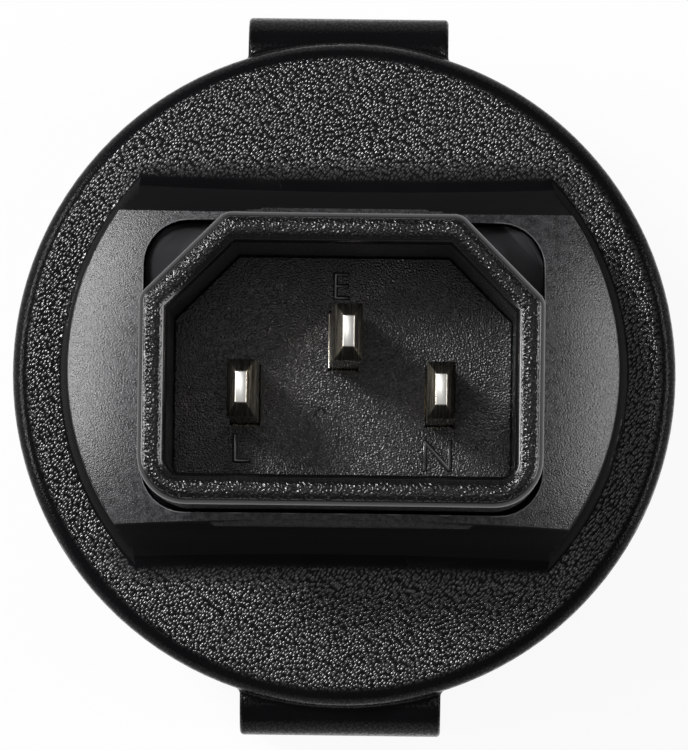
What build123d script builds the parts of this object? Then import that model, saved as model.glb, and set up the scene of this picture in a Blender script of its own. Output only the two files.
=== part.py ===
from build123d import *
import os
from math import asin, cos, degrees, hypot, radians, sin, sqrt, tan

# Adapter from an earthed round socket to an appliance inlet, in millimetres.
# It stands on the mouth of its socket: the origin is the middle of the mouth,
# +Z runs towards the inlet and +Y towards the inlet's earth pin.

# Fits between pieces
seat_gap = 0.05
slot_gap = 0.1
chamber_gap = 0.15
window_gap = 0.1
merge_depth = 0.5

# Drum of the moulded body
drum_wall = 2.2
shoulder_round = 1.5

# Box housings over the earth clips, at the top and bottom of the drum
tab_width = 14.7
tab_rise = 2.2
tab_step = 2.4
tab_front_round = 3.1
tab_corner_round = 0.3
tab_root_fillet = 0.5
tab_wall = 1.6

# Neck with a domed end face, hollowed above and below for thumb and finger
neck_diameter = 39.8
neck_rise = 6.4
neck_draft = 2.0
neck_cove_height = 1.0
neck_cove_reach = 0.8
dome_radius = 34.0
flats_across = 21.9
grip_hollow_radius = 366.0
grip_foot_height = 4.0
grip_foot_reach = 3.3
neck_edge_round = 0.25

# Grip ribs across the hollows, each longer than the one in front of it
rib_count = 4
rib_pitch = 1.8
rib_width = 0.7
rib_rise = 0.4
rib_length = 12.8
rib_length_step = 2.2
rib_end_slope = 0.5
first_rib_depth = 1.4

# Inlet insert: a base plate in the neck's window and a shroud round the pins
base_side_margin = 0.1
base_top_margin = 0.15
base_corner = 3.1
base_thickness = 3.0
ear_width = 3.0
ear_height = 12.0
ear_thickness = 1.6
shroud_width = 28.4
shroud_height = 20.5
shroud_chamfer = 5.9
shroud_corner = 3.5
shroud_length = 15.4
shroud_projection = 23.0
shroud_wall_side = 2.05
shroud_wall_top = 2.2
cavity_depth = 15.7
shroud_blend = 1.2
cavity_corner = 1.0
rim_flat = 0.05

# Carrier that holds the pins and closes the foot of the shroud
carrier_gap = 0.12
carrier_flange = 0.8
carrier_flange_height = 1.0
mark_panel_width = 3.9
mark_panel_height = 3.3
mark_panel_rise = 5.85
mark_panel_depth = 0.15

# Flat inlet pins
pin_thickness = 2.0
pin_width = 4.0
pin_spacing = 14.0
pin_row_drop = 2.0
earth_pin_rise = 2.0
pin_setback = 1.0
pin_tip_thickness = 0.76
pin_tip_width = 2.2
pin_taper = 1.5
earth_pin_lean = 1.9
pin_collar_width = 5.0
pin_collar_height = 0.8
pin_tail_width = 2.4
pin_tail_length = 2.6
pin_slot_clearance = 0.2

# Plate that locks the pins from behind
retainer_width = 22.0
retainer_height = 12.0
retainer_thickness = 1.2
retainer_corner = 1.0

# Socket cup with its recess for a round plug
recess_diameter = 39.2
recess_depth = 17.5
cup_wall = 2.4
cup_floor = 2.4
cup_mouth_chamfer = 0.6
guide_rib_width = 5.0
guide_rib_rise = 2.0
guide_rib_setback = 1.5
contact_spacing = 19.0
pin_hole_diameter = 5.4
pin_hole_chamfer = 0.4

# Tower behind the cup that holds the contacts
tower_width = 28.0
tower_depth = 15.0
tower_height = 18.6
tower_corner = 0.8
cover_thickness = 1.5
pin_tail_room = 3.6
screw_diameter = 2.2
screw_head_diameter = 4.0
screw_head_height = 1.0
screw_length = 9.0
screw_offset = 4.6
screw_slot_width = 0.6
screw_slot_depth = 0.5

# Fork contacts of bent brass strip and the steel bands that clasp them
strip_thickness = 0.8
contact_width = 5.6
contact_pinch = 4.2
contact_mouth = 5.8
contact_span = 5.6
contact_lift = 1.0
contact_pinch_height = 2.6
contact_shoulder_height = 9.5
contact_top_gap = 0.5
contact_bend = 0.9
contact_tongue_width = 3.0
band_thickness = 0.4
band_height = 4.0
band_lift = 1.5
band_opening = 2.0

# Earth strap and sprung clips
strap_width = 7.0
strap_length = 34.0
clip_width = 7.0
clip_leg_room = 1.65
clip_start_across = 24.4
clip_knee_height = 14.0
clip_touch_across = 33.0
clip_touch_height = 8.0
clip_end_across = 39.0
clip_end_height = 3.6
clip_bend = 1.2
clip_slot_gap = 0.5
clip_slot_low = 2.4
clip_slot_high = 16.0
rivet_across = 28.4
rivet_diameter = 2.4
rivet_head_diameter = 4.0
rivet_head_height = 0.7

# Link strips between the inlet pins and the contacts
link_drop = 2.4
link_margin = 1.2
link_corner = 0.8
earth_link_width = 5.0
earth_link_bend = 1.0
earth_link_foot = 3.4

# Levels and radii worked out from the sizes above
recess_radius = recess_diameter / 2
cup_radius = recess_radius + cup_wall
body_radius = cup_radius + seat_gap + drum_wall
neck_radius = neck_diameter / 2
cup_back = recess_depth + cup_floor
tower_top = cup_back + tower_height
cover_top = tower_top + cover_thickness
base_bottom = cover_top + pin_tail_room
base_top = base_bottom + base_thickness
rim_level = base_top + shroud_length
cavity_floor = rim_level - cavity_depth
body_height = rim_level - shroud_projection
dome_edge_level = body_height + neck_rise
dome_centre_level = dome_edge_level - sqrt(dome_radius**2 - neck_radius**2)
dome_top = dome_centre_level + dome_radius
flat_offset = flats_across / 2
flat_top = dome_centre_level + sqrt(dome_radius**2 - flat_offset**2)
tab_height = body_height - tab_step
tabs_across = 2 * (body_radius + tab_rise)
cavity_width = shroud_width - 2 * shroud_wall_side
cavity_height = shroud_height - 2 * shroud_wall_top
cavity_chamfer = shroud_chamfer - (2 - sqrt(2)) * shroud_wall_top
corner_inset = (shroud_corner - cavity_corner) * (1 - sqrt(0.5))
corner_wall = hypot(shroud_wall_side - corner_inset, shroud_wall_top - corner_inset)
rim_round = (min(shroud_wall_side, shroud_wall_top, corner_wall) - rim_flat) / 2
base_width = shroud_width + 2 * base_side_margin
base_height = shroud_height + 2 * base_top_margin
window_width = base_width + 2 * window_gap
window_height = base_height + 2 * window_gap
window_corner = base_corner + window_gap
strap_top = cup_back + strip_thickness
clip_top = strap_top + strip_thickness
clip_leg_offset = tabs_across / 2 - tab_wall - clip_leg_room - strip_thickness
retainer_bottom = base_bottom - retainer_thickness
link_top = base_bottom - link_drop + strip_thickness
link_bottom = link_top - strip_thickness
pin_tip_level = rim_level - pin_setback
chamber_half_width = contact_width / 2 + seat_gap + band_thickness + chamber_gap
band_inner_depth = contact_mouth / 2 + strip_thickness / 2 + seat_gap
chamber_half_depth = band_inner_depth + band_thickness + chamber_gap
contact_bottom = cup_back + contact_lift
contact_top = tower_top - contact_top_gap
tower_side = tower_depth / 2
pin_places = {
    "line": (-pin_spacing / 2, -pin_row_drop),
    "neutral": (pin_spacing / 2, -pin_row_drop),
    "earth": (0, earth_pin_rise),
}
contact_places = {"line": -contact_spacing / 2, "neutral": contact_spacing / 2}

os.makedirs("parts", exist_ok=True)


def write(piece, name):
    """Labels a finished piece and writes it as its own file."""
    piece.label = name
    export_step(piece, "parts/" + name + ".step")


# Neck as turned: a drafted side with a small cove at its foot, under a dome
neck_foot_radius = neck_radius + (neck_rise - neck_cove_height) * tan(radians(neck_draft))
with BuildPart() as neck:
    with BuildSketch(Plane.XZ) as neck_outline:
        with BuildLine():
            foot_out = (neck_foot_radius + neck_cove_reach, body_height)
            foot_in = (neck_foot_radius, body_height + neck_cove_height)
            neck_root = body_height - merge_depth
            Polyline((0, dome_top), (0, neck_root), (foot_out[0], neck_root), foot_out)
            neck_wall = Line((neck_radius, dome_edge_level), foot_in)
            TangentArc(foot_in, foot_out, tangent=neck_wall % 1)
            RadiusArc((neck_radius, dome_edge_level), (0, dome_top), -dome_radius)
        make_face()
        rim_corner = neck_outline.vertices().sort_by_distance((neck_radius, dome_edge_level))[0]
        fillet(rim_corner, neck_edge_round)
    revolve(axis=Axis.Z)

    # Finger hollows, each cut by a profile turned a little both ways about a far upright axis
    hollow_turn = degrees(asin(body_radius / grip_hollow_radius))
    for side in (1, -1):
        hollow_axis = Axis((0, side * (flat_offset + grip_hollow_radius), 0), (0, 0, 1))
        for turn in (hollow_turn, -hollow_turn):
            with BuildSketch(Plane.YZ):
                with BuildLine():
                    hollow_low = (side * flat_offset, body_height + grip_foot_height)
                    hollow_foot = (side * (flat_offset + grip_foot_reach), body_height)
                    outside = side * 2 * body_radius
                    above = dome_top + merge_depth
                    TangentArc(hollow_low, hollow_foot, tangent=(0, -1))
                    Polyline(hollow_foot, (outside, body_height), (outside, above))
                    Polyline((outside, above), (side * flat_offset, above), hollow_low)
                make_face()
            revolve(axis=hollow_axis, revolution_arc=turn, mode=Mode.SUBTRACT)

    # Grip ribs with sloping ends, widest at the back
    for rib in range(rib_count):
        rib_level = flat_top - first_rib_depth - rib * rib_pitch
        rib_half = (rib_length + rib * rib_length_step) / 2
        with BuildSketch(Plane.XY.offset(rib_level - rib_width / 2)):
            for side in (1, -1):
                rib_foot = side * (flat_offset - merge_depth)
                rib_root = side * flat_offset
                rib_crest = side * (flat_offset + rib_rise)
                with BuildLine():
                    Polyline(
                        (-rib_half, rib_foot),
                        (-rib_half, rib_root),
                        (rib_end_slope - rib_half, rib_crest),
                        (rib_half - rib_end_slope, rib_crest),
                        (rib_half, rib_root),
                        (rib_half, rib_foot),
                        close=True,
                    )
                make_face()
        extrude(amount=rib_width)

# Bar that makes both clip housings, rounded along its front and at its corners
with BuildPart() as tab_bar:
    with BuildSketch(Plane.YZ):
        with Locations((0, tab_height / 2)):
            tab_side = Rectangle(tabs_across, tab_height)
        fillet(tab_side.vertices().group_by(Axis.Y)[-1], tab_front_round)
    extrude(amount=tab_width / 2, both=True)
    tab_side_edges = tab_bar.faces().filter_by(Axis.X).edges()
    tab_ends = tab_side_edges.filter_by(lambda edge: edge.center().Z > merge_depth)
    fillet(tab_ends, tab_corner_round)

# Moulded body: drum, clip housings and neck, hollow for all that it holds
with BuildPart() as outer_body:
    with BuildSketch():
        Circle(body_radius)
    extrude(amount=body_height)
    fillet(outer_body.edges().sort_by(Axis.Z)[-1], shoulder_round)
    add(tab_bar.part)
    drum_arcs = outer_body.edges().filter_by(GeomType.CIRCLE).filter_by(
        lambda edge: abs(edge.radius - body_radius) < merge_depth
    )
    tab_roots = drum_arcs.filter_by(lambda edge: abs(edge.center().Z - tab_height) < merge_depth)
    fillet(tab_roots, tab_root_fillet)
    add(neck.part)

    # Seat of the socket cup, and behind it the well for the tower, the links and the pin tails
    with BuildSketch():
        Circle(cup_radius + seat_gap)
    extrude(amount=cup_back, mode=Mode.SUBTRACT)
    with BuildSketch(Plane.XY.offset(cup_back - merge_depth)):
        Rectangle(tower_width + 2 * slot_gap, tower_depth + 2 * slot_gap)
    extrude(amount=base_bottom - cup_back + merge_depth, mode=Mode.SUBTRACT)

    # Window for the base of the inlet, with pockets for its ears
    with BuildSketch(Plane.XY.offset(base_bottom)):
        RectangleRounded(window_width, window_height, window_corner)
    extrude(amount=dome_top - base_bottom, mode=Mode.SUBTRACT)
    with BuildSketch(Plane.XY.offset(base_bottom)):
        Rectangle(base_width + 2 * ear_width + 2 * slot_gap, ear_height + 2 * slot_gap)
    extrude(amount=ear_thickness + seat_gap, mode=Mode.SUBTRACT)

    # Room for the earth strap, its rivets and the clips, and for the earth link beside the tower
    with BuildSketch(Plane.XY.offset(clip_slot_low)):
        Rectangle(clip_width + 2 * clip_slot_gap, tabs_across - 2 * tab_wall)
    extrude(amount=clip_top + rivet_head_height + chamber_gap - clip_slot_low, mode=Mode.SUBTRACT)
    with BuildSketch(Plane.XY.offset(cup_back)):
        with Locations((0, tower_side)):
            Rectangle(earth_link_width + 2 * slot_gap, 2 * (strip_thickness + 2 * slot_gap))
    extrude(amount=base_bottom - cup_back, mode=Mode.SUBTRACT)
write(outer_body.part, "outer_body")

# Base and shroud of the inlet, moulded in one and open right through for the carrier
with BuildPart() as inlet_shroud:
    with BuildSketch(Plane.XY.offset(base_bottom)):
        RectangleRounded(base_width, base_height, base_corner)
    extrude(amount=base_thickness)
    with BuildSketch(Plane.XY.offset(base_bottom)):
        Rectangle(base_width + 2 * ear_width, ear_height)
    extrude(amount=ear_thickness)
    with BuildSketch(Plane.XY.offset(base_bottom)) as shroud_outline:
        Rectangle(shroud_width, shroud_height)
        chamfer(shroud_outline.vertices().group_by(Axis.Y)[-1], shroud_chamfer)
        fillet(shroud_outline.vertices().group_by(Axis.Y)[0], shroud_corner)
        fillet(shroud_outline.vertices().group_by(Axis.Y)[-2:], shroud_blend)
    extrude(amount=rim_level - base_bottom)
    fillet(inlet_shroud.faces().sort_by(Axis.Z)[-1].edges(), rim_round)
    with BuildSketch(Plane.XY.offset(base_bottom)) as cavity_outline:
        Rectangle(cavity_width, cavity_height)
        chamfer(cavity_outline.vertices().group_by(Axis.Y)[-1], cavity_chamfer)
        fillet(cavity_outline.vertices().group_by(Axis.Y)[0], cavity_corner)
    extrude(amount=rim_level - base_bottom, mode=Mode.SUBTRACT)
    fillet(inlet_shroud.faces().sort_by(Axis.Z)[-1].inner_wires()[0].edges(), rim_round)
    with BuildSketch(Plane.XY.offset(base_bottom)):
        offset(cavity_outline.sketch, carrier_flange + slot_gap, kind=Kind.INTERSECTION)
    extrude(amount=carrier_flange_height + seat_gap, mode=Mode.SUBTRACT)
write(inlet_shroud.part, "inlet_shroud")

# Carrier: a block that fills the foot of the shroud, slotted for the three pins
with BuildPart() as pin_carrier:
    with BuildSketch(Plane.XY.offset(base_bottom)):
        offset(cavity_outline.sketch, -carrier_gap)
    extrude(amount=cavity_floor - base_bottom)
    with BuildSketch(Plane.XY.offset(base_bottom)):
        offset(cavity_outline.sketch, carrier_flange, kind=Kind.INTERSECTION)
    extrude(amount=carrier_flange_height)
    with BuildSketch(Plane.XY.offset(base_bottom)):
        with Locations(*pin_places.values()):
            Rectangle(pin_thickness + 2 * slot_gap, pin_width + 2 * pin_slot_clearance)
    extrude(amount=cavity_floor - base_bottom, mode=Mode.SUBTRACT)
    with BuildSketch(Plane.XY.offset(base_bottom)):
        with Locations(*pin_places.values()):
            Rectangle(pin_thickness + 2 * slot_gap, pin_collar_width + 2 * slot_gap)
    extrude(amount=pin_collar_height, mode=Mode.SUBTRACT)
    with BuildSketch(Plane.XY.offset(cavity_floor - mark_panel_depth)):
        with Locations((0, mark_panel_rise)):
            Rectangle(mark_panel_width, mark_panel_height)
    extrude(amount=mark_panel_depth, mode=Mode.SUBTRACT)
write(pin_carrier.part, "pin_carrier")

# Flat pins: a tail, a collar and a blade with a tapered tip. The earth pin stands a little bent
for name, place in pin_places.items():
    lean = radians(earth_pin_lean) if name == "earth" else 0
    blade_foot = Plane(
        origin=(*place, cavity_floor),
        x_dir=(cos(lean), 0, -sin(lean)),
        z_dir=(sin(lean), 0, cos(lean)),
    )
    blade_length = pin_tip_level - cavity_floor
    with BuildPart() as pin:
        with BuildSketch(Plane.XY.offset(base_bottom - pin_tail_length)):
            with Locations(place):
                Rectangle(pin_thickness, pin_tail_width)
        extrude(amount=pin_tail_length)
        with BuildSketch(Plane.XY.offset(base_bottom)):
            with Locations(place):
                Rectangle(pin_thickness, pin_collar_width)
        extrude(amount=pin_collar_height)
        with BuildSketch(Plane.XY.offset(base_bottom)):
            with Locations(place):
                Rectangle(pin_thickness, pin_width)
        extrude(amount=cavity_floor - base_bottom)
        with BuildSketch(blade_foot):
            Rectangle(pin_thickness, pin_width)
        extrude(amount=-slot_gap)
        with BuildSketch(blade_foot):
            Rectangle(pin_thickness, pin_width)
        extrude(amount=blade_length - pin_taper)
        with BuildSketch(blade_foot.offset(blade_length - pin_taper)):
            Rectangle(pin_thickness, pin_width)
        with BuildSketch(blade_foot.offset(blade_length)):
            Rectangle(pin_tip_thickness, pin_tip_width)
        loft()
    write(pin.part, name + "_pin")

# Plate that locks the pin collars from behind
with BuildPart() as pin_retainer:
    with BuildSketch(Plane.XY.offset(retainer_bottom)):
        RectangleRounded(retainer_width, retainer_height, retainer_corner)
        with Locations(*pin_places.values()):
            Rectangle(pin_thickness + 2 * slot_gap, pin_tail_width + 2 * slot_gap, mode=Mode.SUBTRACT)
    extrude(amount=retainer_thickness)
write(pin_retainer.part, "pin_retainer")

# Socket cup: the recess with its guide ribs, and the tower with a chamber for each contact
with BuildPart() as socket_cup:
    with BuildSketch():
        Circle(cup_radius)
    extrude(amount=cup_back)
    with BuildSketch(Plane.XY.offset(cup_back)):
        RectangleRounded(tower_width, tower_depth, tower_corner)
    extrude(amount=tower_height)
    with BuildSketch():
        Circle(recess_radius)
    extrude(amount=recess_depth, mode=Mode.SUBTRACT)
    mouth_edge = socket_cup.edges().filter_by(GeomType.CIRCLE).group_by(Axis.Z)[0].sort_by(SortBy.RADIUS)[0]
    chamfer(mouth_edge, cup_mouth_chamfer)
    guide_rib_depth = guide_rib_rise + cup_wall / 2
    guide_rib_place = recess_radius - guide_rib_rise + guide_rib_depth / 2
    with BuildSketch(Plane.XY.offset(guide_rib_setback)):
        with Locations((guide_rib_place, 0), (-guide_rib_place, 0)):
            Rectangle(guide_rib_depth, guide_rib_width)
    extrude(amount=recess_depth - guide_rib_setback)
    with BuildSketch(Plane.XY.offset(clip_slot_low)):
        Rectangle(clip_width + 2 * clip_slot_gap, 2 * cup_radius)
    extrude(amount=clip_slot_high - clip_slot_low, mode=Mode.SUBTRACT)

    # Holes for the plug's pins, chambers behind them, and the strap's way through the tower
    with BuildSketch(Plane.XY.offset(recess_depth)):
        with Locations(*[(x, 0) for x in contact_places.values()]):
            Circle(pin_hole_diameter / 2)
    extrude(amount=cup_floor, mode=Mode.SUBTRACT)
    round_edges = socket_cup.edges().filter_by(GeomType.CIRCLE).filter_by(
        lambda edge: edge.radius < pin_hole_diameter
    )
    hole_edges = round_edges.filter_by(lambda edge: abs(edge.center().Z - recess_depth) < seat_gap)
    chamfer(hole_edges, pin_hole_chamfer)
    with BuildSketch(Plane.XY.offset(cup_back)):
        with Locations(*[(x, 0) for x in contact_places.values()]):
            Rectangle(2 * chamber_half_width, 2 * chamber_half_depth)
    extrude(amount=tower_height, mode=Mode.SUBTRACT)
    with BuildSketch(Plane.XY.offset(cup_back)):
        Rectangle(strap_width + 2 * slot_gap, tower_depth)
    extrude(amount=strip_thickness + slot_gap, mode=Mode.SUBTRACT)
    with BuildSketch(Plane.XY.offset(tower_top)):
        with Locations((0, screw_offset), (0, -screw_offset)):
            Circle(screw_diameter / 2 + seat_gap)
    extrude(amount=-screw_length, mode=Mode.SUBTRACT)
    with BuildSketch(Plane.XY.offset(cup_back)):
        with Locations((0, rivet_across / 2), (0, -rivet_across / 2)):
            Circle(rivet_head_diameter / 2 + slot_gap)
    extrude(amount=-(rivet_head_height + seat_gap), mode=Mode.SUBTRACT)
write(socket_cup.part, "socket_cup")

# Cover that shuts the contact chambers, with a slot for each contact's tongue
with BuildPart() as contact_cover:
    with BuildSketch(Plane.XY.offset(tower_top)):
        RectangleRounded(tower_width, tower_depth, tower_corner)
        slot_play = 2 * slot_gap
        with Locations(*[(x, 0) for x in contact_places.values()]):
            Rectangle(contact_tongue_width + slot_play, strip_thickness + slot_play, mode=Mode.SUBTRACT)
        with Locations((0, screw_offset), (0, -screw_offset)):
            Circle(screw_diameter / 2 + slot_gap, mode=Mode.SUBTRACT)
    extrude(amount=cover_thickness)
    with Locations((0, screw_offset, cover_top), (0, -screw_offset, cover_top)):
        Cone(
            screw_diameter / 2 + slot_gap,
            screw_head_diameter / 2 + slot_gap,
            screw_head_height + seat_gap,
            align=(Align.CENTER, Align.CENTER, Align.MAX),
            mode=Mode.SUBTRACT,
        )
write(contact_cover.part, "contact_cover")

# Countersunk screws of the cover
with BuildPart() as cover_screws:
    with Locations((0, screw_offset, cover_top), (0, -screw_offset, cover_top)):
        Cylinder(screw_diameter / 2, screw_length, align=(Align.CENTER, Align.CENTER, Align.MAX))
        Cone(
            screw_diameter / 2,
            screw_head_diameter / 2,
            screw_head_height,
            align=(Align.CENTER, Align.CENTER, Align.MAX),
        )
        Box(
            screw_head_diameter,
            screw_slot_width,
            screw_slot_depth,
            align=(Align.CENTER, Align.CENTER, Align.MAX),
            mode=Mode.SUBTRACT,
        )
write(cover_screws.part, "cover_screws")

# Each side's fork contact, the steel band that clasps it, and the link up to its inlet pin
for name, x in contact_places.items():
    half_strip = strip_thickness / 2
    fork_top = contact_top - half_strip
    with BuildPart() as contact:
        with BuildSketch(Plane.YZ.offset(x)):
            with BuildLine() as fork:
                FilletPolyline(
                    (contact_mouth / 2, contact_bottom),
                    (contact_pinch / 2 + half_strip, contact_bottom + contact_pinch_height),
                    (contact_span / 2 + half_strip, contact_bottom + contact_shoulder_height),
                    (contact_span / 2 + half_strip, fork_top),
                    (-contact_span / 2 - half_strip, fork_top),
                    (-contact_span / 2 - half_strip, contact_bottom + contact_shoulder_height),
                    (-contact_pinch / 2 - half_strip, contact_bottom + contact_pinch_height),
                    (-contact_mouth / 2, contact_bottom),
                    radius=contact_bend,
                )
            trace(line_width=strip_thickness)
        extrude(amount=contact_width / 2, both=True)
        with BuildSketch(Plane.XY.offset(fork_top)):
            with Locations((x, 0)):
                Rectangle(contact_tongue_width, strip_thickness)
        extrude(amount=link_top + slot_gap - fork_top)
    write(contact.part, name + "_contact")

    with BuildPart() as band:
        with BuildSketch(Plane.XY.offset(contact_bottom + band_lift)):
            with Locations((x, 0)):
                band_width = contact_width + 2 * seat_gap
                band_depth = 2 * band_inner_depth
                Rectangle(band_width + 2 * band_thickness, band_depth + 2 * band_thickness)
                Rectangle(band_width, band_depth, mode=Mode.SUBTRACT)
            with Locations((x, -band_inner_depth)):
                Rectangle(band_opening, 4 * band_thickness, mode=Mode.SUBTRACT)
        extrude(amount=band_height)
    write(band.part, name + "_contact_spring")

    pin_place = pin_places[name]
    link_edge = 2 * link_margin
    seat_play = 2 * seat_gap
    with BuildPart() as link:
        with BuildSketch(Plane.XY.offset(link_bottom)):
            with Locations(pin_place):
                RectangleRounded(pin_thickness + link_edge, pin_tail_width + link_edge, link_corner)
            with Locations((x, 0)):
                RectangleRounded(contact_tongue_width + link_edge, strip_thickness + link_edge, link_corner)
                Rectangle(contact_tongue_width + seat_play, strip_thickness + seat_play, mode=Mode.SUBTRACT)
            with Locations(pin_place):
                Rectangle(pin_thickness + seat_play, pin_tail_width + seat_play, mode=Mode.SUBTRACT)
        extrude(amount=strip_thickness)
    write(link.part, name + "_link")

# Earth strap across the back of the cup
with BuildPart() as earth_strap:
    with BuildSketch(Plane.XY.offset(cup_back)):
        Rectangle(strap_width, strap_length)
        with Locations((0, rivet_across / 2), (0, -rivet_across / 2)):
            Circle(rivet_diameter / 2 + seat_gap, mode=Mode.SUBTRACT)
    extrude(amount=strip_thickness)
write(earth_strap.part, "earth_strap")

# Sprung earth clips, bent from strip: along the strap, down the housing and in through the wall
for name, side in (("upper", 1), ("lower", -1)):
    half_strip = strip_thickness / 2
    with BuildPart() as clip:
        with BuildSketch(Plane.YZ):
            with BuildLine() as clip_line:
                FilletPolyline(
                    (side * clip_start_across / 2, strap_top + half_strip),
                    (side * (clip_leg_offset + half_strip), strap_top + half_strip),
                    (side * (clip_leg_offset + half_strip), clip_knee_height),
                    (side * (clip_touch_across / 2 + half_strip), clip_touch_height),
                    (side * clip_end_across / 2, clip_end_height),
                    radius=clip_bend,
                )
            trace(line_width=strip_thickness)
        extrude(amount=clip_width / 2, both=True)
        with BuildSketch(Plane.XY.offset(strap_top)):
            with Locations((0, side * rivet_across / 2)):
                Circle(rivet_diameter / 2 + seat_gap)
        extrude(amount=strip_thickness, mode=Mode.SUBTRACT)
    write(clip.part, name + "_earth_clip")

# Rivets that fix the clips to the strap
with BuildPart() as earth_rivets:
    with Locations((0, rivet_across / 2, cup_back), (0, -rivet_across / 2, cup_back)):
        Cylinder(rivet_diameter / 2, 2 * strip_thickness, align=(Align.CENTER, Align.CENTER, Align.MIN))
        Cylinder(rivet_head_diameter / 2, rivet_head_height, align=(Align.CENTER, Align.CENTER, Align.MAX))
    with Locations((0, rivet_across / 2, clip_top), (0, -rivet_across / 2, clip_top)):
        Cylinder(rivet_head_diameter / 2, rivet_head_height, align=(Align.CENTER, Align.CENTER, Align.MIN))
write(earth_rivets.part, "earth_rivets")

# Earth link: from the earth pin's tail, down beside the tower, to a foot on the strap
with BuildPart() as earth_link:
    link_leg = tower_side + slot_gap + strip_thickness / 2
    link_middle = link_bottom + strip_thickness / 2
    with BuildSketch(Plane.YZ):
        with BuildLine() as link_line:
            FilletPolyline(
                (earth_pin_rise - pin_tail_width / 2 - link_margin, link_middle),
                (link_leg, link_middle),
                (link_leg, strap_top + strip_thickness / 2),
                (link_leg + earth_link_foot, strap_top + strip_thickness / 2),
                radius=earth_link_bend,
            )
        trace(line_width=strip_thickness)
    extrude(amount=earth_link_width / 2, both=True)
    with BuildSketch(Plane.XY.offset(link_bottom)):
        with Locations(pin_places["earth"]):
            Rectangle(pin_thickness + 2 * seat_gap, pin_tail_width + 2 * seat_gap)
    extrude(amount=strip_thickness, mode=Mode.SUBTRACT)
write(earth_link.part, "earth_link")
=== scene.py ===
from math import cos, hypot, pi, radians, sin, sqrt

import bpy
from mathutils import Matrix, Vector


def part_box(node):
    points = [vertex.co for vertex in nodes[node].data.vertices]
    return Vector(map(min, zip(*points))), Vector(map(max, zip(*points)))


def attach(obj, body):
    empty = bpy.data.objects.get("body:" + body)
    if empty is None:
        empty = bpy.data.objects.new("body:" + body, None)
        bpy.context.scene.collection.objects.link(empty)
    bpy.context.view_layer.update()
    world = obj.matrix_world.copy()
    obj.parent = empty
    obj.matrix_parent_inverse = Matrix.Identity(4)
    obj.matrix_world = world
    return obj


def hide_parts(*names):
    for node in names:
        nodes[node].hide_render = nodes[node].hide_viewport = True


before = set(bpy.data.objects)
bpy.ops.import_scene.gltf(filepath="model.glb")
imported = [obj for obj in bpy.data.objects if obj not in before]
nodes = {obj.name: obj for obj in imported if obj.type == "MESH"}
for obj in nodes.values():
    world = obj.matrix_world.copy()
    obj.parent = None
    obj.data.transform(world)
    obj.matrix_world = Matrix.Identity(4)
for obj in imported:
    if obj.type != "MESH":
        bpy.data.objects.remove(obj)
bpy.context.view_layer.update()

# Moulded adapter, standing with its socket's mouth on a white table.
# The camera looks down on its inlet, as in the photograph. Lengths are in metres.

MM = 0.001

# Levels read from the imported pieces
MOUTH_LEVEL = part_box("outer_body")[0].z
CAVITY_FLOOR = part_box("pin_carrier")[1].z
PIN_TIP_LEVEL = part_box("line_pin")[1].z
RIM_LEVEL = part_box("inlet_shroud")[1].z

# The photograph's frame, and where the adapter's axis lies in it, in pixels
PHOTO_WIDTH = 688
PHOTO_HEIGHT = 750
PHOTO_FOCAL = 6881
AXIS_AT_TIPS = (341.4, 359.3)
AXIS_VANISHING = (400.0, 680.0)
TIP_DISTANCE = 480 * MM
PHOTO_ROLL = radians(0.72)

# Neck of the moulded body, whose end face is a part of a sphere with a window for the inlet
FLANGE_LEVEL = 39.0 * MM
NECK_RADIUS = 19.9 * MM
NECK_EDGE_LEVEL = 45.4 * MM
DOME_RADIUS = 34.0 * MM
DOME_CENTRE_LEVEL = NECK_EDGE_LEVEL - sqrt(DOME_RADIUS**2 - NECK_RADIUS**2)
WINDOW_HALF_WIDTH = 14.4 * MM
WINDOW_HALF_HEIGHT = 10.5 * MM
WINDOW_CORNER = 3.2 * MM

# A finger hollow's foot lies this far from the middle, and runs this far to each side.
# Beside it the grain and its shine are turned down as a painted shade, over these widths.
HOLLOW_FOOT = 14.0 * MM
HOLLOW_END = 14.0 * MM
FOOT_SHADE_WIDTH = 2.6 * MM
FOOT_SHADE_END = 5.0 * MM

# Edges sharper than this stay crisp in the shading
CRISP_ANGLE = radians(30)


def deselect_all():
    """Leaves nothing selected, so that an operator acts on one piece alone."""
    if bpy.context.object and bpy.context.object.mode != "OBJECT":
        bpy.ops.object.mode_set(mode="OBJECT")
    bpy.ops.object.select_all(action="DESELECT")


def activate(piece):
    """Selects one piece alone and makes it the active one."""
    deselect_all()
    piece.select_set(True)
    bpy.context.view_layer.objects.active = piece


def settle(piece):
    """Puts a finished piece on the adapter's one body."""
    activate(piece)
    bpy.ops.object.transform_apply(location=True, rotation=True, scale=True)
    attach(piece, "root")
    return piece


def finish_with(piece, *materials):
    """Gives a piece its materials, in the order of its faces' indices."""
    piece.data.materials.clear()
    for material in materials:
        piece.data.materials.append(material)


def paint_node(name, material):
    """Gives a carried-over node its material."""
    node = nodes[name]
    for slot in node.material_slots:
        slot.material = material
    if not node.material_slots:
        node.data.materials.append(material)


# Materials


def new_material(name):
    """An empty material with one plain shader, and the place coordinate for its patterns."""
    material = bpy.data.materials.new(name)
    material.use_nodes = True
    tree = material.node_tree
    shader = tree.nodes["Principled BSDF"]
    place = tree.nodes.new("ShaderNodeTexCoord").outputs["Object"]
    return material, tree, shader, place


def noise(tree, place, size, detail):
    """Noise whose blots are about the given size across."""
    texture = tree.nodes.new("ShaderNodeTexNoise")
    texture.inputs["Scale"].default_value = 1 / size
    texture.inputs["Detail"].default_value = detail
    tree.links.new(place, texture.inputs["Vector"])
    return texture.outputs["Fac"]


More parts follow.
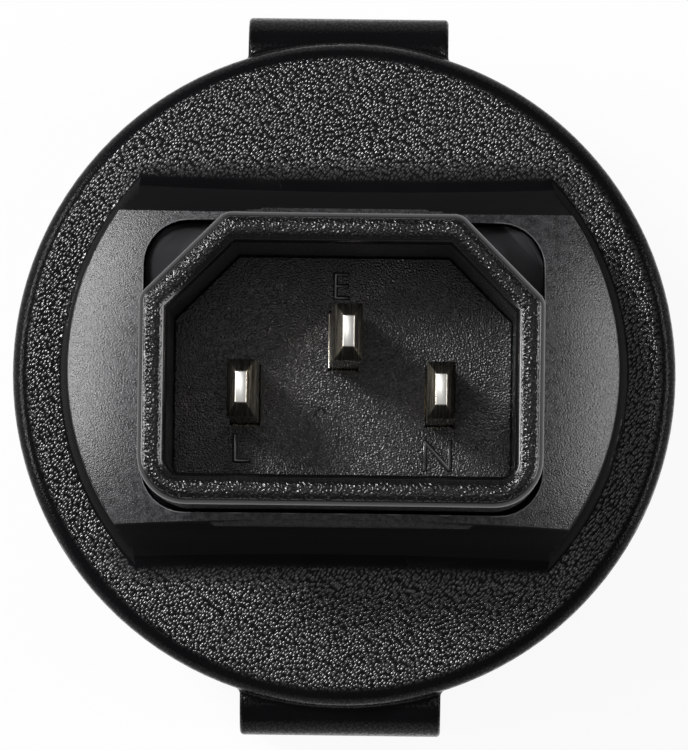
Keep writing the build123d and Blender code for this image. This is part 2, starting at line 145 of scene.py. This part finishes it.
def spread(tree, value, low, high, low_out, high_out):
    """Maps a value's range onto another one, held at its ends."""
    ramp = tree.nodes.new("ShaderNodeMapRange")
    ramp.inputs["From Min"].default_value = low
    ramp.inputs["From Max"].default_value = high
    ramp.inputs["To Min"].default_value = low_out
    ramp.inputs["To Max"].default_value = high_out
    tree.links.new(value, ramp.inputs["Value"])
    return ramp.outputs["Result"]


def combine(tree, operation, first, second):
    """One arithmetic step between two values, the second of which may be a number."""
    step = tree.nodes.new("ShaderNodeMath")
    step.operation = operation
    tree.links.new(first, step.inputs[0])
    if isinstance(second, (int, float)):
        step.inputs[1].default_value = second
    else:
        tree.links.new(second, step.inputs[1])
    return step.outputs["Value"]


def drive(shader, socket, value):
    """Lets a pattern set one input of a shader."""
    shader.id_data.links.new(value, shader.inputs[socket])


def tint(tree, value, dark, light):
    """A colour between two others, by a value from 0 to 1."""
    mix = tree.nodes.new("ShaderNodeMix")
    mix.data_type = "RGBA"
    mix.inputs[6].default_value = (*dark, 1)
    mix.inputs[7].default_value = (*light, 1)
    tree.links.new(value, mix.inputs[0])
    return mix.outputs[2]


def relief(tree, height, depth, over=None):
    """A bump of the given depth, laid over another one if there is one."""
    bump = tree.nodes.new("ShaderNodeBump")
    bump.inputs["Distance"].default_value = depth
    bump.inputs["Strength"].default_value = 1.0
    tree.links.new(height, bump.inputs["Height"])
    if over:
        tree.links.new(over, bump.inputs["Normal"])
    return bump.outputs["Normal"]


def warp(tree, place, size, reach):
    """The place coordinate pushed about by noise, so that a pattern loses its straightness."""
    texture = tree.nodes.new("ShaderNodeTexNoise")
    texture.inputs["Scale"].default_value = 1 / size
    tree.links.new(place, texture.inputs["Vector"])
    push = tree.nodes.new("ShaderNodeVectorMath")
    push.operation = "MULTIPLY_ADD"
    push.inputs[1].default_value = (reach, reach, reach)
    tree.links.new(texture.outputs["Color"], push.inputs[0])
    tree.links.new(place, push.inputs[2])
    return push.outputs["Vector"]


def facing_up(tree):
    """How far a surface faces up along the adapter's axis: one for a flat face, none for a wall."""
    split = tree.nodes.new("ShaderNodeSeparateXYZ")
    tree.links.new(tree.nodes.new("ShaderNodeNewGeometry").outputs["Normal"], split.inputs[0])
    return split.outputs["Z"]


def pebbles_of(tree, place, size, dimensions):
    """Rounded cells of the given size, one at their tops and none in the grooves between."""
    cells = tree.nodes.new("ShaderNodeTexVoronoi")
    cells.voronoi_dimensions = dimensions
    cells.feature = "F1"
    cells.inputs["Scale"].default_value = 1 / size
    cells.inputs["Randomness"].default_value = 0.8
    tree.links.new(place, cells.inputs["Vector"])
    hollow = combine(tree, "MULTIPLY", cells.outputs["Distance"], cells.outputs["Distance"])
    return spread(tree, hollow, 0.0, 0.45, 1.0, 0.0)


def hollow_foot_shade(tree, place):
    """Painted shade beside the hollows' feet: little grain and shine left there, else one."""
    split = tree.nodes.new("ShaderNodeSeparateXYZ")
    tree.links.new(place, split.inputs[0])
    across = combine(tree, "ABSOLUTE", split.outputs["X"], 0.0)
    outward = combine(tree, "ABSOLUTE", split.outputs["Y"], 0.0)
    least_left_in_shade = 0.15
    near_foot = spread(tree, outward, HOLLOW_FOOT, HOLLOW_FOOT + FOOT_SHADE_WIDTH, 1.0, 0.0)
    between_ends = spread(tree, across, HOLLOW_END, HOLLOW_END + FOOT_SHADE_END, 1.0, 0.0)
    foot_shade_mask = combine(tree, "MULTIPLY", near_foot, between_ends)
    return spread(tree, foot_shade_mask, 0.0, 1.0, 1.0, least_left_in_shade)


def leather_moulding():
    """Black flexible plastic with a leather grain of shiny pebbles, and a painted shade in the grooves
    between them, which get little shine.

    The pebbles are long and lean to one side on flat faces, round on walls, and fainter on rounds.
    """
    material, tree, shader, place = new_material("leather_moulding")
    face_pebble, wall_pebble, pebble_height = 0.19 * MM, 0.24 * MM, 0.036 * MM
    stretch, lean = 1.8, radians(52)
    slant = tree.nodes.new("ShaderNodeMapping")
    slant.vector_type = "TEXTURE"
    slant.inputs["Rotation"].default_value = (0, 0, lean)
    slant.inputs["Scale"].default_value = (stretch, 1, 1)
    tree.links.new(warp(tree, place, 0.5 * MM, 0.08 * MM), slant.inputs["Vector"])
    face_pebbles = pebbles_of(tree, slant.outputs["Vector"], face_pebble, "2D")
    wall_pebbles = pebbles_of(tree, place, wall_pebble, "3D")
    facing = facing_up(tree)
    on_face = spread(tree, facing, 0.93, 0.995, 0.14, 1.0)
    on_wall = spread(tree, facing, 0.5, 0.2, 0.0, 0.6)
    pebbles = combine(tree, "MAXIMUM", combine(tree, "MULTIPLY", face_pebbles, on_face),
                      combine(tree, "MULTIPLY", wall_pebbles, on_wall))
    # The pebbles' height and shine are turned down beside the hollows' feet: a painted shade.
    pebbles_with_painted_shade = combine(tree, "MULTIPLY", pebbles, hollow_foot_shade(tree, place))
    grit = noise(tree, place, 0.14 * MM, 0.0)
    blots = noise(tree, place, 4 * MM, 2.0)
    coarse = relief(tree, pebbles_with_painted_shade, pebble_height)
    drive(shader, "Normal", relief(tree, grit, 0.012 * MM, over=coarse))
    # The shine follows the pebbles' height, so the grooves between them are darkened: a painted shade.
    drive(shader, "Specular IOR Level", spread(tree, pebbles_with_painted_shade, 0.09, 0.6, 0.05, 0.74))
    drive(shader, "Base Color", tint(tree, blots, (0.003, 0.003, 0.0034), (0.005, 0.005, 0.0056)))
    drive(shader, "Roughness", spread(tree, blots, 0.3, 0.7, 0.16, 0.22))
    return material


def spark_moulding():
    """Black flexible plastic with a fine even spark grain, which looks gray where it is lit."""
    material, tree, shader, place = new_material("spark_moulding")
    fine = noise(tree, place, 0.13 * MM, 1.0)
    cloud = noise(tree, place, 0.5 * MM, 3.0)
    speck = combine(tree, "MULTIPLY", fine, cloud)
    lit = spread(tree, speck, 0.12, 0.4, 0.0, 1.0)
    drive(shader, "Normal", relief(tree, fine, 0.026 * MM))
    drive(shader, "Base Color", tint(tree, lit, (0.014, 0.014, 0.015), (0.054, 0.054, 0.057)))
    drive(shader, "Roughness", spread(tree, cloud, 0.3, 0.7, 0.24, 0.32))
    return material


def smooth_moulding():
    """The same plastic where the mould was left smooth: the slopes under the finger hollows."""
    material, tree, shader, place = new_material("smooth_moulding")
    fine = noise(tree, place, 0.25 * MM, 3.0)
    drive(shader, "Normal", relief(tree, fine, 0.008 * MM))
    drive(shader, "Base Color", tint(tree, fine, (0.003, 0.003, 0.0034), (0.006, 0.006, 0.0066)))
    shader.inputs["Specular IOR Level"].default_value = 0.1
    shader.inputs["Roughness"].default_value = 0.58
    return material


def painted_highlight_bead():
    """A light gray plastic for the bead along the neck's window: its light colour is a painted highlight
    on the window's edge.
    """
    material, tree, shader, place = new_material("painted_highlight_bead")
    cloud = noise(tree, place, 0.8 * MM, 2.0)
    # The bead's light colour is a painted highlight.
    drive(shader, "Base Color", tint(tree, cloud, (0.07, 0.07, 0.074), (0.12, 0.12, 0.125)))
    shader.inputs["Roughness"].default_value = 0.4
    return material


def inlet_plastic():
    """Black hard plastic of the shroud, satin, with a bright grain on the crest of the rim."""
    material, tree, shader, place = new_material("inlet_plastic")
    grain_start = RIM_LEVEL - 0.2 * MM
    grain_full = RIM_LEVEL - 0.08 * MM
    grain = noise(tree, place, 0.17 * MM, 0.0)
    cloud = noise(tree, place, 2.5 * MM, 2.0)
    level = tree.nodes.new("ShaderNodeSeparateXYZ")
    tree.links.new(place, level.inputs[0])
    on_crest = spread(tree, level.outputs["Z"], grain_start, grain_full, 0.0, 1.0)
    drive(shader, "Normal", relief(tree, combine(tree, "MULTIPLY", grain, on_crest), 0.07 * MM))
    drive(shader, "Base Color", tint(tree, cloud, (0.003, 0.003, 0.0034), (0.006, 0.006, 0.0066)))
    drive(shader, "Roughness", spread(tree, cloud, 0.3, 0.7, 0.16, 0.22))
    return material


def base_plate_painted_light():
    """The same plastic on the flat plate at the shroud's foot, duller, and given a lighter colour as
    painted light on the deep plate.
    """
    material, tree, shader, place = new_material("base_plate_painted_light")
    cloud = noise(tree, place, 2.5 * MM, 2.0)
    drive(shader, "Normal", relief(tree, noise(tree, place, 0.2 * MM, 3.0), 0.01 * MM))
    # The plate's light colour is painted light, far lighter than the shroud's walls.
    drive(shader, "Base Color", tint(tree, cloud, (0.05, 0.05, 0.054), (0.066, 0.066, 0.071)))
    shader.inputs["Roughness"].default_value = 0.5
    return material


def carrier_plastic():
    """Black hard plastic of the pin carrier, matte with a fine grain."""
    material, tree, shader, place = new_material("carrier_plastic")
    grain = noise(tree, place, 0.13 * MM, 0.0)
    cloud = noise(tree, place, 1.5 * MM, 2.0)
    drive(shader, "Normal", relief(tree, grain, 0.055 * MM))
    drive(shader, "Base Color", tint(tree, cloud, (0.012, 0.012, 0.013), (0.022, 0.022, 0.024)))
    drive(shader, "Roughness", spread(tree, cloud, 0.3, 0.7, 0.18, 0.24))
    return material


def mark_plastic():
    """The carrier's plastic without its grain, for the raised marks."""
    material, tree, shader, place = new_material("mark_plastic")
    cloud = noise(tree, place, 0.5 * MM, 2.0)
    drive(shader, "Base Color", tint(tree, cloud, (0.02, 0.02, 0.022), (0.034, 0.034, 0.036)))
    shader.inputs["Roughness"].default_value = 0.14
    return material


def socket_plastic():
    """Black hard plastic of the socket cup, satin."""
    material, tree, shader, place = new_material("socket_plastic")
    grain = noise(tree, place, 0.2 * MM, 3.0)
    cloud = noise(tree, place, 3 * MM, 2.0)
    drive(shader, "Normal", relief(tree, grain, 0.012 * MM))
    drive(shader, "Base Color", tint(tree, cloud, (0.014, 0.014, 0.015), (0.022, 0.022, 0.024)))
    drive(shader, "Roughness", spread(tree, cloud, 0.3, 0.7, 0.3, 0.42))
    return material


def plated_metal(name, dark, light, roughness, draw_size):
    """Drawn metal: fine lines side by side across its width, and a cloudy tone."""
    material, tree, shader, place = new_material(name)
    stretch = tree.nodes.new("ShaderNodeMapping")
    stretch.inputs["Scale"].default_value = (1, 0.04, 0.04)
    tree.links.new(place, stretch.inputs["Vector"])
    lines = noise(tree, stretch.outputs["Vector"], draw_size, 3.0)
    cloud = noise(tree, place, 1.2 * MM, 2.0)
    drive(shader, "Normal", relief(tree, lines, 0.004 * MM))
    drive(shader, "Base Color", tint(tree, combine(tree, "MULTIPLY", lines, cloud), dark, light))
    drive(shader, "Roughness", spread(tree, lines, 0.3, 0.7, roughness - 0.06, roughness + 0.06))
    shader.inputs["Metallic"].default_value = 1.0
    return material


def tip_highlight_metal():
    """The ends of the pins, lighter and whiter than their plated sides: a painted highlight."""
    material, tree, shader, place = new_material("tip_highlight_metal")
    cloud = noise(tree, place, 0.5 * MM, 3.0)
    # The ends' light colour is a painted highlight.
    drive(shader, "Base Color", tint(tree, cloud, (0.78, 0.76, 0.71), (0.9, 0.89, 0.86)))
    shader.inputs["Metallic"].default_value = 1.0
    shader.inputs["Roughness"].default_value = 0.28
    return material


# Camera, table and light


def camera_at_photo_angle():
    """The camera, worked out from where the adapter's axis runs in the photograph."""
    centre_x, centre_y = PHOTO_WIDTH / 2, PHOTO_HEIGHT / 2
    away = Vector(((AXIS_VANISHING[0] - centre_x) / PHOTO_FOCAL,
                   (centre_y - AXIS_VANISHING[1]) / PHOTO_FOCAL, -1)).normalized()
    up_axis = -away
    roll = Vector((sin(PHOTO_ROLL), cos(PHOTO_ROLL), 0))
    ahead = (roll - up_axis * roll.dot(up_axis)).normalized()
    side = ahead.cross(up_axis)
    turn = Matrix((side, ahead, up_axis))
    tip_seen = Vector(((AXIS_AT_TIPS[0] - centre_x) / PHOTO_FOCAL,
                       (centre_y - AXIS_AT_TIPS[1]) / PHOTO_FOCAL, -1)) * TIP_DISTANCE
    camera = bpy.data.objects.new("photo_camera", bpy.data.cameras.new("photo_camera"))
    camera.data.sensor_width = 36
    camera.data.lens = PHOTO_FOCAL * camera.data.sensor_width / PHOTO_HEIGHT
    camera.data.clip_start = 0.01
    camera.data.clip_end = 20
    camera.matrix_world = (Matrix.Translation(Vector((0, 0, PIN_TIP_LEVEL)) - turn @ tip_seen)
                           @ turn.to_4x4())
    bpy.context.scene.collection.objects.link(camera)
    bpy.context.scene.camera = camera


def seen_directly(tree):
    """One for rays from the camera, for reflections and through glass, otherwise none."""
    path = tree.nodes.new("ShaderNodeLightPath")
    straight = combine(tree, "MAXIMUM", path.outputs["Is Camera Ray"],
                       path.outputs["Is Transmission Ray"])
    return combine(tree, "MAXIMUM", straight, path.outputs["Is Glossy Ray"])


def table_material():
    """White for the camera and for reflections, with the adapter's shadow kept faint."""
    material = bpy.data.materials.new("white_table")
    material.use_nodes = True
    tree = material.node_tree
    tree.nodes.clear()
    paper = tree.nodes.new("ShaderNodeBsdfDiffuse")
    paper.inputs["Color"].default_value = (0.8, 0.8, 0.8, 1)
    white = tree.nodes.new("ShaderNodeEmission")
    white.inputs["Color"].default_value = (1, 1, 1, 1)
    white.inputs["Strength"].default_value = 1.0
    kept_shadow = tree.nodes.new("ShaderNodeMixShader")
    kept_shadow.inputs["Fac"].default_value = 0.08
    tree.links.new(white.outputs["Emission"], kept_shadow.inputs[1])
    tree.links.new(paper.outputs["BSDF"], kept_shadow.inputs[2])
    by_ray = tree.nodes.new("ShaderNodeMixShader")
    tree.links.new(seen_directly(tree), by_ray.inputs["Fac"])
    tree.links.new(paper.outputs["BSDF"], by_ray.inputs[1])
    tree.links.new(kept_shadow.outputs["Shader"], by_ray.inputs[2])
    output = tree.nodes.new("ShaderNodeOutputMaterial")
    tree.links.new(by_ray.outputs["Shader"], output.inputs["Surface"])
    return material


def table():
    """A wide white table under the adapter."""
    deselect_all()
    bpy.ops.mesh.primitive_plane_add(size=6.0, location=(0, 0, MOUTH_LEVEL))
    top = bpy.context.object
    top.name = "table"
    top.data.materials.append(table_material())


def studio_world():
    """White to the camera, dim and even for the light.

    In reflections it is white at the horizon, gray straight overhead and dark between them.
    """
    world = bpy.data.worlds.new("studio")
    world.use_nodes = True
    bpy.context.scene.world = world
    tree = world.node_tree
    tree.nodes.clear()
    dim = tree.nodes.new("ShaderNodeBackground")
    dim.inputs["Color"].default_value = (1, 1, 1, 1)
    dim.inputs["Strength"].default_value = 0.3
    height = tree.nodes.new("ShaderNodeSeparateXYZ")
    tree.links.new(tree.nodes.new("ShaderNodeTexCoord").outputs["Generated"], height.inputs[0])
    backdrop = tree.nodes.new("ShaderNodeBackground")
    backdrop.inputs["Color"].default_value = (1, 1, 1, 1)
    low_part = spread(tree, height.outputs["Z"], 0.0, 0.1, 1.0, 0.08)
    top_part = spread(tree, height.outputs["Z"], 0.82, 0.92, 0.0, 0.38)
    shade = combine(tree, "MAXIMUM", low_part, top_part)
    path = tree.nodes.new("ShaderNodeLightPath")
    tree.links.new(combine(tree, "MAXIMUM", shade, path.outputs["Is Camera Ray"]),
                   backdrop.inputs["Strength"])
    by_ray = tree.nodes.new("ShaderNodeMixShader")
    tree.links.new(seen_directly(tree), by_ray.inputs["Fac"])
    tree.links.new(dim.outputs["Background"], by_ray.inputs[1])
    tree.links.new(backdrop.outputs["Background"], by_ray.inputs[2])
    output = tree.nodes.new("ShaderNodeOutputWorld")
    tree.links.new(by_ray.outputs["Shader"], output.inputs["Surface"])


def softbox(name, bearing, rise, distance, width, height, glow):
    """A soft lamp aimed at the neck. Bearing is from +X towards +Y, rise is above the table."""
    lamp = bpy.data.lights.new(name, "AREA")
    lamp.shape = "RECTANGLE"
    lamp.size = width
    lamp.size_y = height
    lamp.energy = glow * pi * width * height
    aim = Vector((cos(bearing) * cos(rise), sin(bearing) * cos(rise), sin(rise)))
    box = bpy.data.objects.new(name, lamp)
    box.location = Vector((0, 0, FLANGE_LEVEL)) + aim * distance
    box.rotation_mode = "QUATERNION"
    box.rotation_quaternion = aim.to_track_quat("Z", "Y")
    bpy.context.scene.collection.objects.link(box)


def studio_lights():
    """Low strips and dim boxes on both sides, a strong small lamp at the upper left, and one in front."""
    softbox("left_strip", radians(170), radians(17), 0.7, 0.7, 0.16, 14.5)
    softbox("right_strip", radians(-2), radians(17), 0.7, 0.6, 0.16, 8.0)
    softbox("left_box", radians(150), radians(44), 0.7, 0.4, 0.3, 0.7)
    softbox("right_box", radians(8), radians(50), 0.7, 0.4, 0.3, 0.3)
    softbox("key_lamp", radians(143), radians(60), 1.0, 0.18, 0.18, 44.0)
    softbox("front_lamp", radians(110), radians(84), 1.3, 0.22, 0.22, 3.2)


# Moulded body


def copy_of(name, piece_name):
    """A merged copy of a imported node, as a new piece."""
    same_place = 0.0005 * MM
    piece = bpy.data.objects.new(piece_name, nodes[name].data.copy())
    bpy.context.scene.collection.objects.link(piece)
    activate(piece)
    bpy.ops.object.mode_set(mode="EDIT")
    bpy.ops.mesh.select_all(action="SELECT")
    bpy.ops.mesh.remove_doubles(threshold=same_place)
    bpy.ops.object.mode_set(mode="OBJECT")
    return piece


def sphere_normal(point):
    """Which way the neck's face looks at a point, as a part of its sphere."""
    return (point - Vector((0, 0, DOME_CENTRE_LEVEL))).normalized()


def near_sphere(point):
    """True if a point lies on or close to the sphere of the neck's face."""
    facet_depth = 0.1 * MM
    return abs((point - Vector((0, 0, DOME_CENTRE_LEVEL))).length - DOME_RADIUS) < facet_depth


def is_dome(face):
    """True for a face that belongs to the neck's end, not to its rounded edges or its walls."""
    facet_tilt = radians(7)
    return near_sphere(face.center) and face.normal.angle(sphere_normal(face.center)) < facet_tilt


def shade_evenly(piece):
    """Smooth shading over rounds that leaves the broad flat faces flat."""
    activate(piece)
    bpy.ops.object.shade_smooth_by_angle(angle=CRISP_ANGLE)
    even = piece.modifiers.new("even_shading", "WEIGHTED_NORMAL")
    even.keep_sharp = True
    bpy.ops.object.modifier_apply(modifier=even.name)


def shade_dome_true(body):
    """Shades the flat facets of the neck's face as the sphere that they stand for."""
    mesh = body.data
    looks = [Vector(corner.vector) for corner in mesh.corner_normals]
    for face in mesh.polygons:
        if is_dome(face):
            for corner in face.loop_indices:
                looks[corner] = sphere_normal(mesh.vertices[mesh.loops[corner].vertex_index].co)
    mesh.normals_split_custom_set(looks)


def moulded_body():
    """The soft body, with its own grain on the drum, the neck's face and the hollow slopes."""
    leather, spark, smooth = range(3)
    foot_round = 1.5 * MM
    lowest_rib = FLANGE_LEVEL + 3 * MM
    flat, upward = 0.88, 0.5
    body = copy_of("outer_body", "moulded_body")
    finish_with(body, leather_moulding(), spark_moulding(), smooth_moulding())
    for face in body.data.polygons:
        x, y, z = face.center
        face.material_index = leather
        if z < FLANGE_LEVEL + 0.05 * MM or hypot(x, y) > NECK_RADIUS + foot_round:
            continue
        on_end = near_sphere(face.center) and face.normal.z > upward
        on_rib = face.normal.z > flat and z > lowest_rib
        if on_end or on_rib:
            face.material_index = spark
        elif face.normal.z < flat:
            face.material_index = smooth
    shade_evenly(body)
    shade_dome_true(body)
    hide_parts("outer_body")
    return settle(body)


def window_highlight_lip(material):
    """A fine light bead along the edge of the neck's window, put there to paint the line of light on that
    edge.
    """
    deselect_all()
    bead = 0.05 * MM
    bpy.ops.mesh.primitive_plane_add(size=2.0)
    lip = bpy.context.object
    lip.name = "window_highlight_lip"
    lip.scale = (WINDOW_HALF_WIDTH + bead / 2, WINDOW_HALF_HEIGHT + bead / 2, 1)
    activate(lip)
    bpy.ops.object.transform_apply(location=True, rotation=True, scale=True)
    bpy.ops.object.mode_set(mode="EDIT")
    bpy.ops.mesh.select_all(action="SELECT")
    bpy.ops.mesh.delete(type="ONLY_FACE")
    bpy.ops.mesh.select_all(action="SELECT")
    bpy.ops.mesh.bevel(offset=WINDOW_CORNER, segments=8, affect="VERTICES")
    bpy.ops.mesh.select_all(action="SELECT")
    bpy.ops.mesh.subdivide(number_cuts=5)
    bpy.ops.object.mode_set(mode="OBJECT")
    for corner in lip.data.vertices:
        rise = sqrt(DOME_RADIUS**2 - corner.co.x**2 - corner.co.y**2)
        corner.co.z = DOME_CENTRE_LEVEL + rise - bead / 2
    bpy.ops.object.convert(target="CURVE")
    lip = bpy.context.object
    lip.data.bevel_depth = bead
    lip.data.bevel_resolution = 2
    bpy.ops.object.convert(target="MESH")
    lip = bpy.context.object
    activate(lip)
    bpy.ops.object.shade_smooth()
    finish_with(lip, material)
    return settle(lip)


def smooth_copy(name, piece_name, material):
    """A merged, smooth copy of a node whose shape is right but whose facets would show."""
    piece = copy_of(name, piece_name)
    finish_with(piece, material)
    shade_evenly(piece)
    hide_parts(name)
    return settle(piece)


def shroud():
    """The inlet's shroud, whose flat plate is duller than its walls and carries painted light."""
    well_below_rim = RIM_LEVEL - 5 * MM
    piece = smooth_copy("inlet_shroud", "shroud", inlet_plastic())
    piece.data.materials.append(base_plate_painted_light())
    for face in piece.data.polygons:
        if face.normal.z > 0.95 and face.center.z < well_below_rim:
            face.material_index = 1
    return piece


def pin(name, plated, tip_highlight):
    """A pin with its edges rubbed round, and its end in a lighter metal that paints a highlight."""
    near_tip = PIN_TIP_LEVEL - 0.1 * MM
    piece = copy_of(name, name + "_rubbed")
    bpy.ops.object.mode_set(mode="EDIT")
    bpy.ops.mesh.dissolve_limited(angle_limit=radians(1))
    bpy.ops.object.mode_set(mode="OBJECT")
    finish_with(piece, plated, tip_highlight)
    for face in piece.data.polygons:
        if face.normal.z > 0.9 and face.center.z > near_tip:
            face.material_index = 1
    rounding = piece.modifiers.new("rounding", "BEVEL")
    rounding.width = 0.07 * MM
    rounding.segments = 2
    rounding.limit_method = "ANGLE"
    rounding.angle_limit = radians(18)
    rounding.use_clamp_overlap = False
    bpy.ops.object.modifier_apply(modifier=rounding.name)
    bpy.ops.object.shade_smooth_by_angle(angle=CRISP_ANGLE)
    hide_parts(name)
    return settle(piece)


# Marks at the foot of the inlet


def raised_letter(letter, place, tall, level, material):
    """One raised pole letter, cast on the carrier: a thin plate with a wide rounded edge."""
    plate, edge_round, narrowing = 0.02 * MM, 0.13 * MM, -0.1 * MM
    deselect_all()
    bpy.ops.object.text_add(location=(0, 0, 0))
    mark = bpy.context.object
    mark.name = "mark_" + letter
    mark.data.body = letter
    mark.data.align_x = "CENTER"
    mark.data.align_y = "CENTER"
    mark.data.extrude = plate
    mark.data.bevel_depth = edge_round
    mark.data.bevel_resolution = 3
    mark.data.offset = narrowing
    mark.data.size = 1.35 * tall
    activate(mark)
    bpy.ops.object.convert(target="MESH")
    mark = bpy.context.object
    corners = [vertex.co for vertex in mark.data.vertices]
    middle_x = (min(c.x for c in corners) + max(c.x for c in corners)) / 2
    middle_y = (min(c.y for c in corners) + max(c.y for c in corners)) / 2
    grow = tall / (max(c.y for c in corners) - min(c.y for c in corners))
    mark.scale = (grow, grow, 1)
    mark.location = (place[0] - middle_x * grow, place[1] - middle_y * grow, level)
    activate(mark)
    bpy.ops.object.transform_apply(location=True, rotation=True, scale=True)
    bpy.ops.object.mode_set(mode="EDIT")
    bpy.ops.mesh.select_all(action="SELECT")
    bpy.ops.mesh.remove_doubles(threshold=0.001 * MM)
    bpy.ops.object.mode_set(mode="OBJECT")
    bpy.ops.object.shade_smooth_by_angle(angle=radians(24))
    finish_with(mark, material)
    return settle(mark)


def pole_letters(material):
    """L, N and E beside their pins. The E stands in a sunk panel."""
    panel_floor = CAVITY_FLOOR - 0.15 * MM
    raised_letter("L", (-7.23 * MM, -5.78 * MM), 2.15 * MM, CAVITY_FLOOR, material)
    raised_letter("N", (6.83 * MM, -6.18 * MM), 2.3 * MM, CAVITY_FLOOR, material)
    raised_letter("E", (-0.2 * MM, 5.95 * MM), 2.0 * MM, panel_floor, material)


def gate_mark(material):
    """The small curl that the moulding gate left on the carrier, half sunk in its floor."""
    place = (-1.62 * MM, -3.2 * MM, CAVITY_FLOOR - 0.02 * MM)
    tilt = (radians(12), radians(8), 0)
    deselect_all()
    bpy.ops.mesh.primitive_torus_add(major_radius=0.34 * MM, minor_radius=0.09 * MM,
                                     major_segments=40, minor_segments=12,
                                     location=place, rotation=tilt)
    curl = bpy.context.object
    curl.name = "gate_mark"
    activate(curl)
    bpy.ops.object.shade_smooth()
    finish_with(curl, material)
    return settle(curl)


camera_at_photo_angle()
table()
studio_world()
studio_lights()

carrier = carrier_plastic()
socket = socket_plastic()
pin_metal = plated_metal("pin_metal", (0.62, 0.56, 0.46), (0.78, 0.74, 0.66), 0.26, 0.12 * MM)
contact_brass = plated_metal("contact_brass", (0.6, 0.42, 0.18), (0.75, 0.55, 0.27), 0.3, 0.15 * MM)
clip_metal = plated_metal("clip_metal", (0.55, 0.53, 0.49), (0.68, 0.66, 0.62), 0.25, 0.15 * MM)
spring_steel = plated_metal("spring_steel", (0.42, 0.42, 0.44), (0.55, 0.55, 0.57), 0.3, 0.2 * MM)
screw_steel = plated_metal("screw_steel", (0.5, 0.5, 0.52), (0.64, 0.64, 0.67), 0.32, 0.2 * MM)

moulded_body()
window_highlight_lip(painted_highlight_bead())
shroud()
smooth_copy("socket_cup", "cup", socket)
paint_node("pin_carrier", carrier)
paint_node("pin_retainer", carrier)
paint_node("contact_cover", socket)
tip_highlight = tip_highlight_metal()
for name in ("line_pin", "neutral_pin", "earth_pin"):
    pin(name, pin_metal, tip_highlight)
for name in ("line_contact", "neutral_contact", "line_link", "neutral_link", "earth_link",
             "earth_strap"):
    paint_node(name, contact_brass)
for name in ("upper_earth_clip", "lower_earth_clip"):
    paint_node(name, clip_metal)
for name in ("line_contact_spring", "neutral_contact_spring"):
    paint_node(name, spring_steel)
for name in ("cover_screws", "earth_rivets"):
    paint_node(name, screw_steel)
marks = mark_plastic()
pole_letters(marks)
gate_mark(marks)

bpy.context.scene.view_settings.view_transform = "Standard"
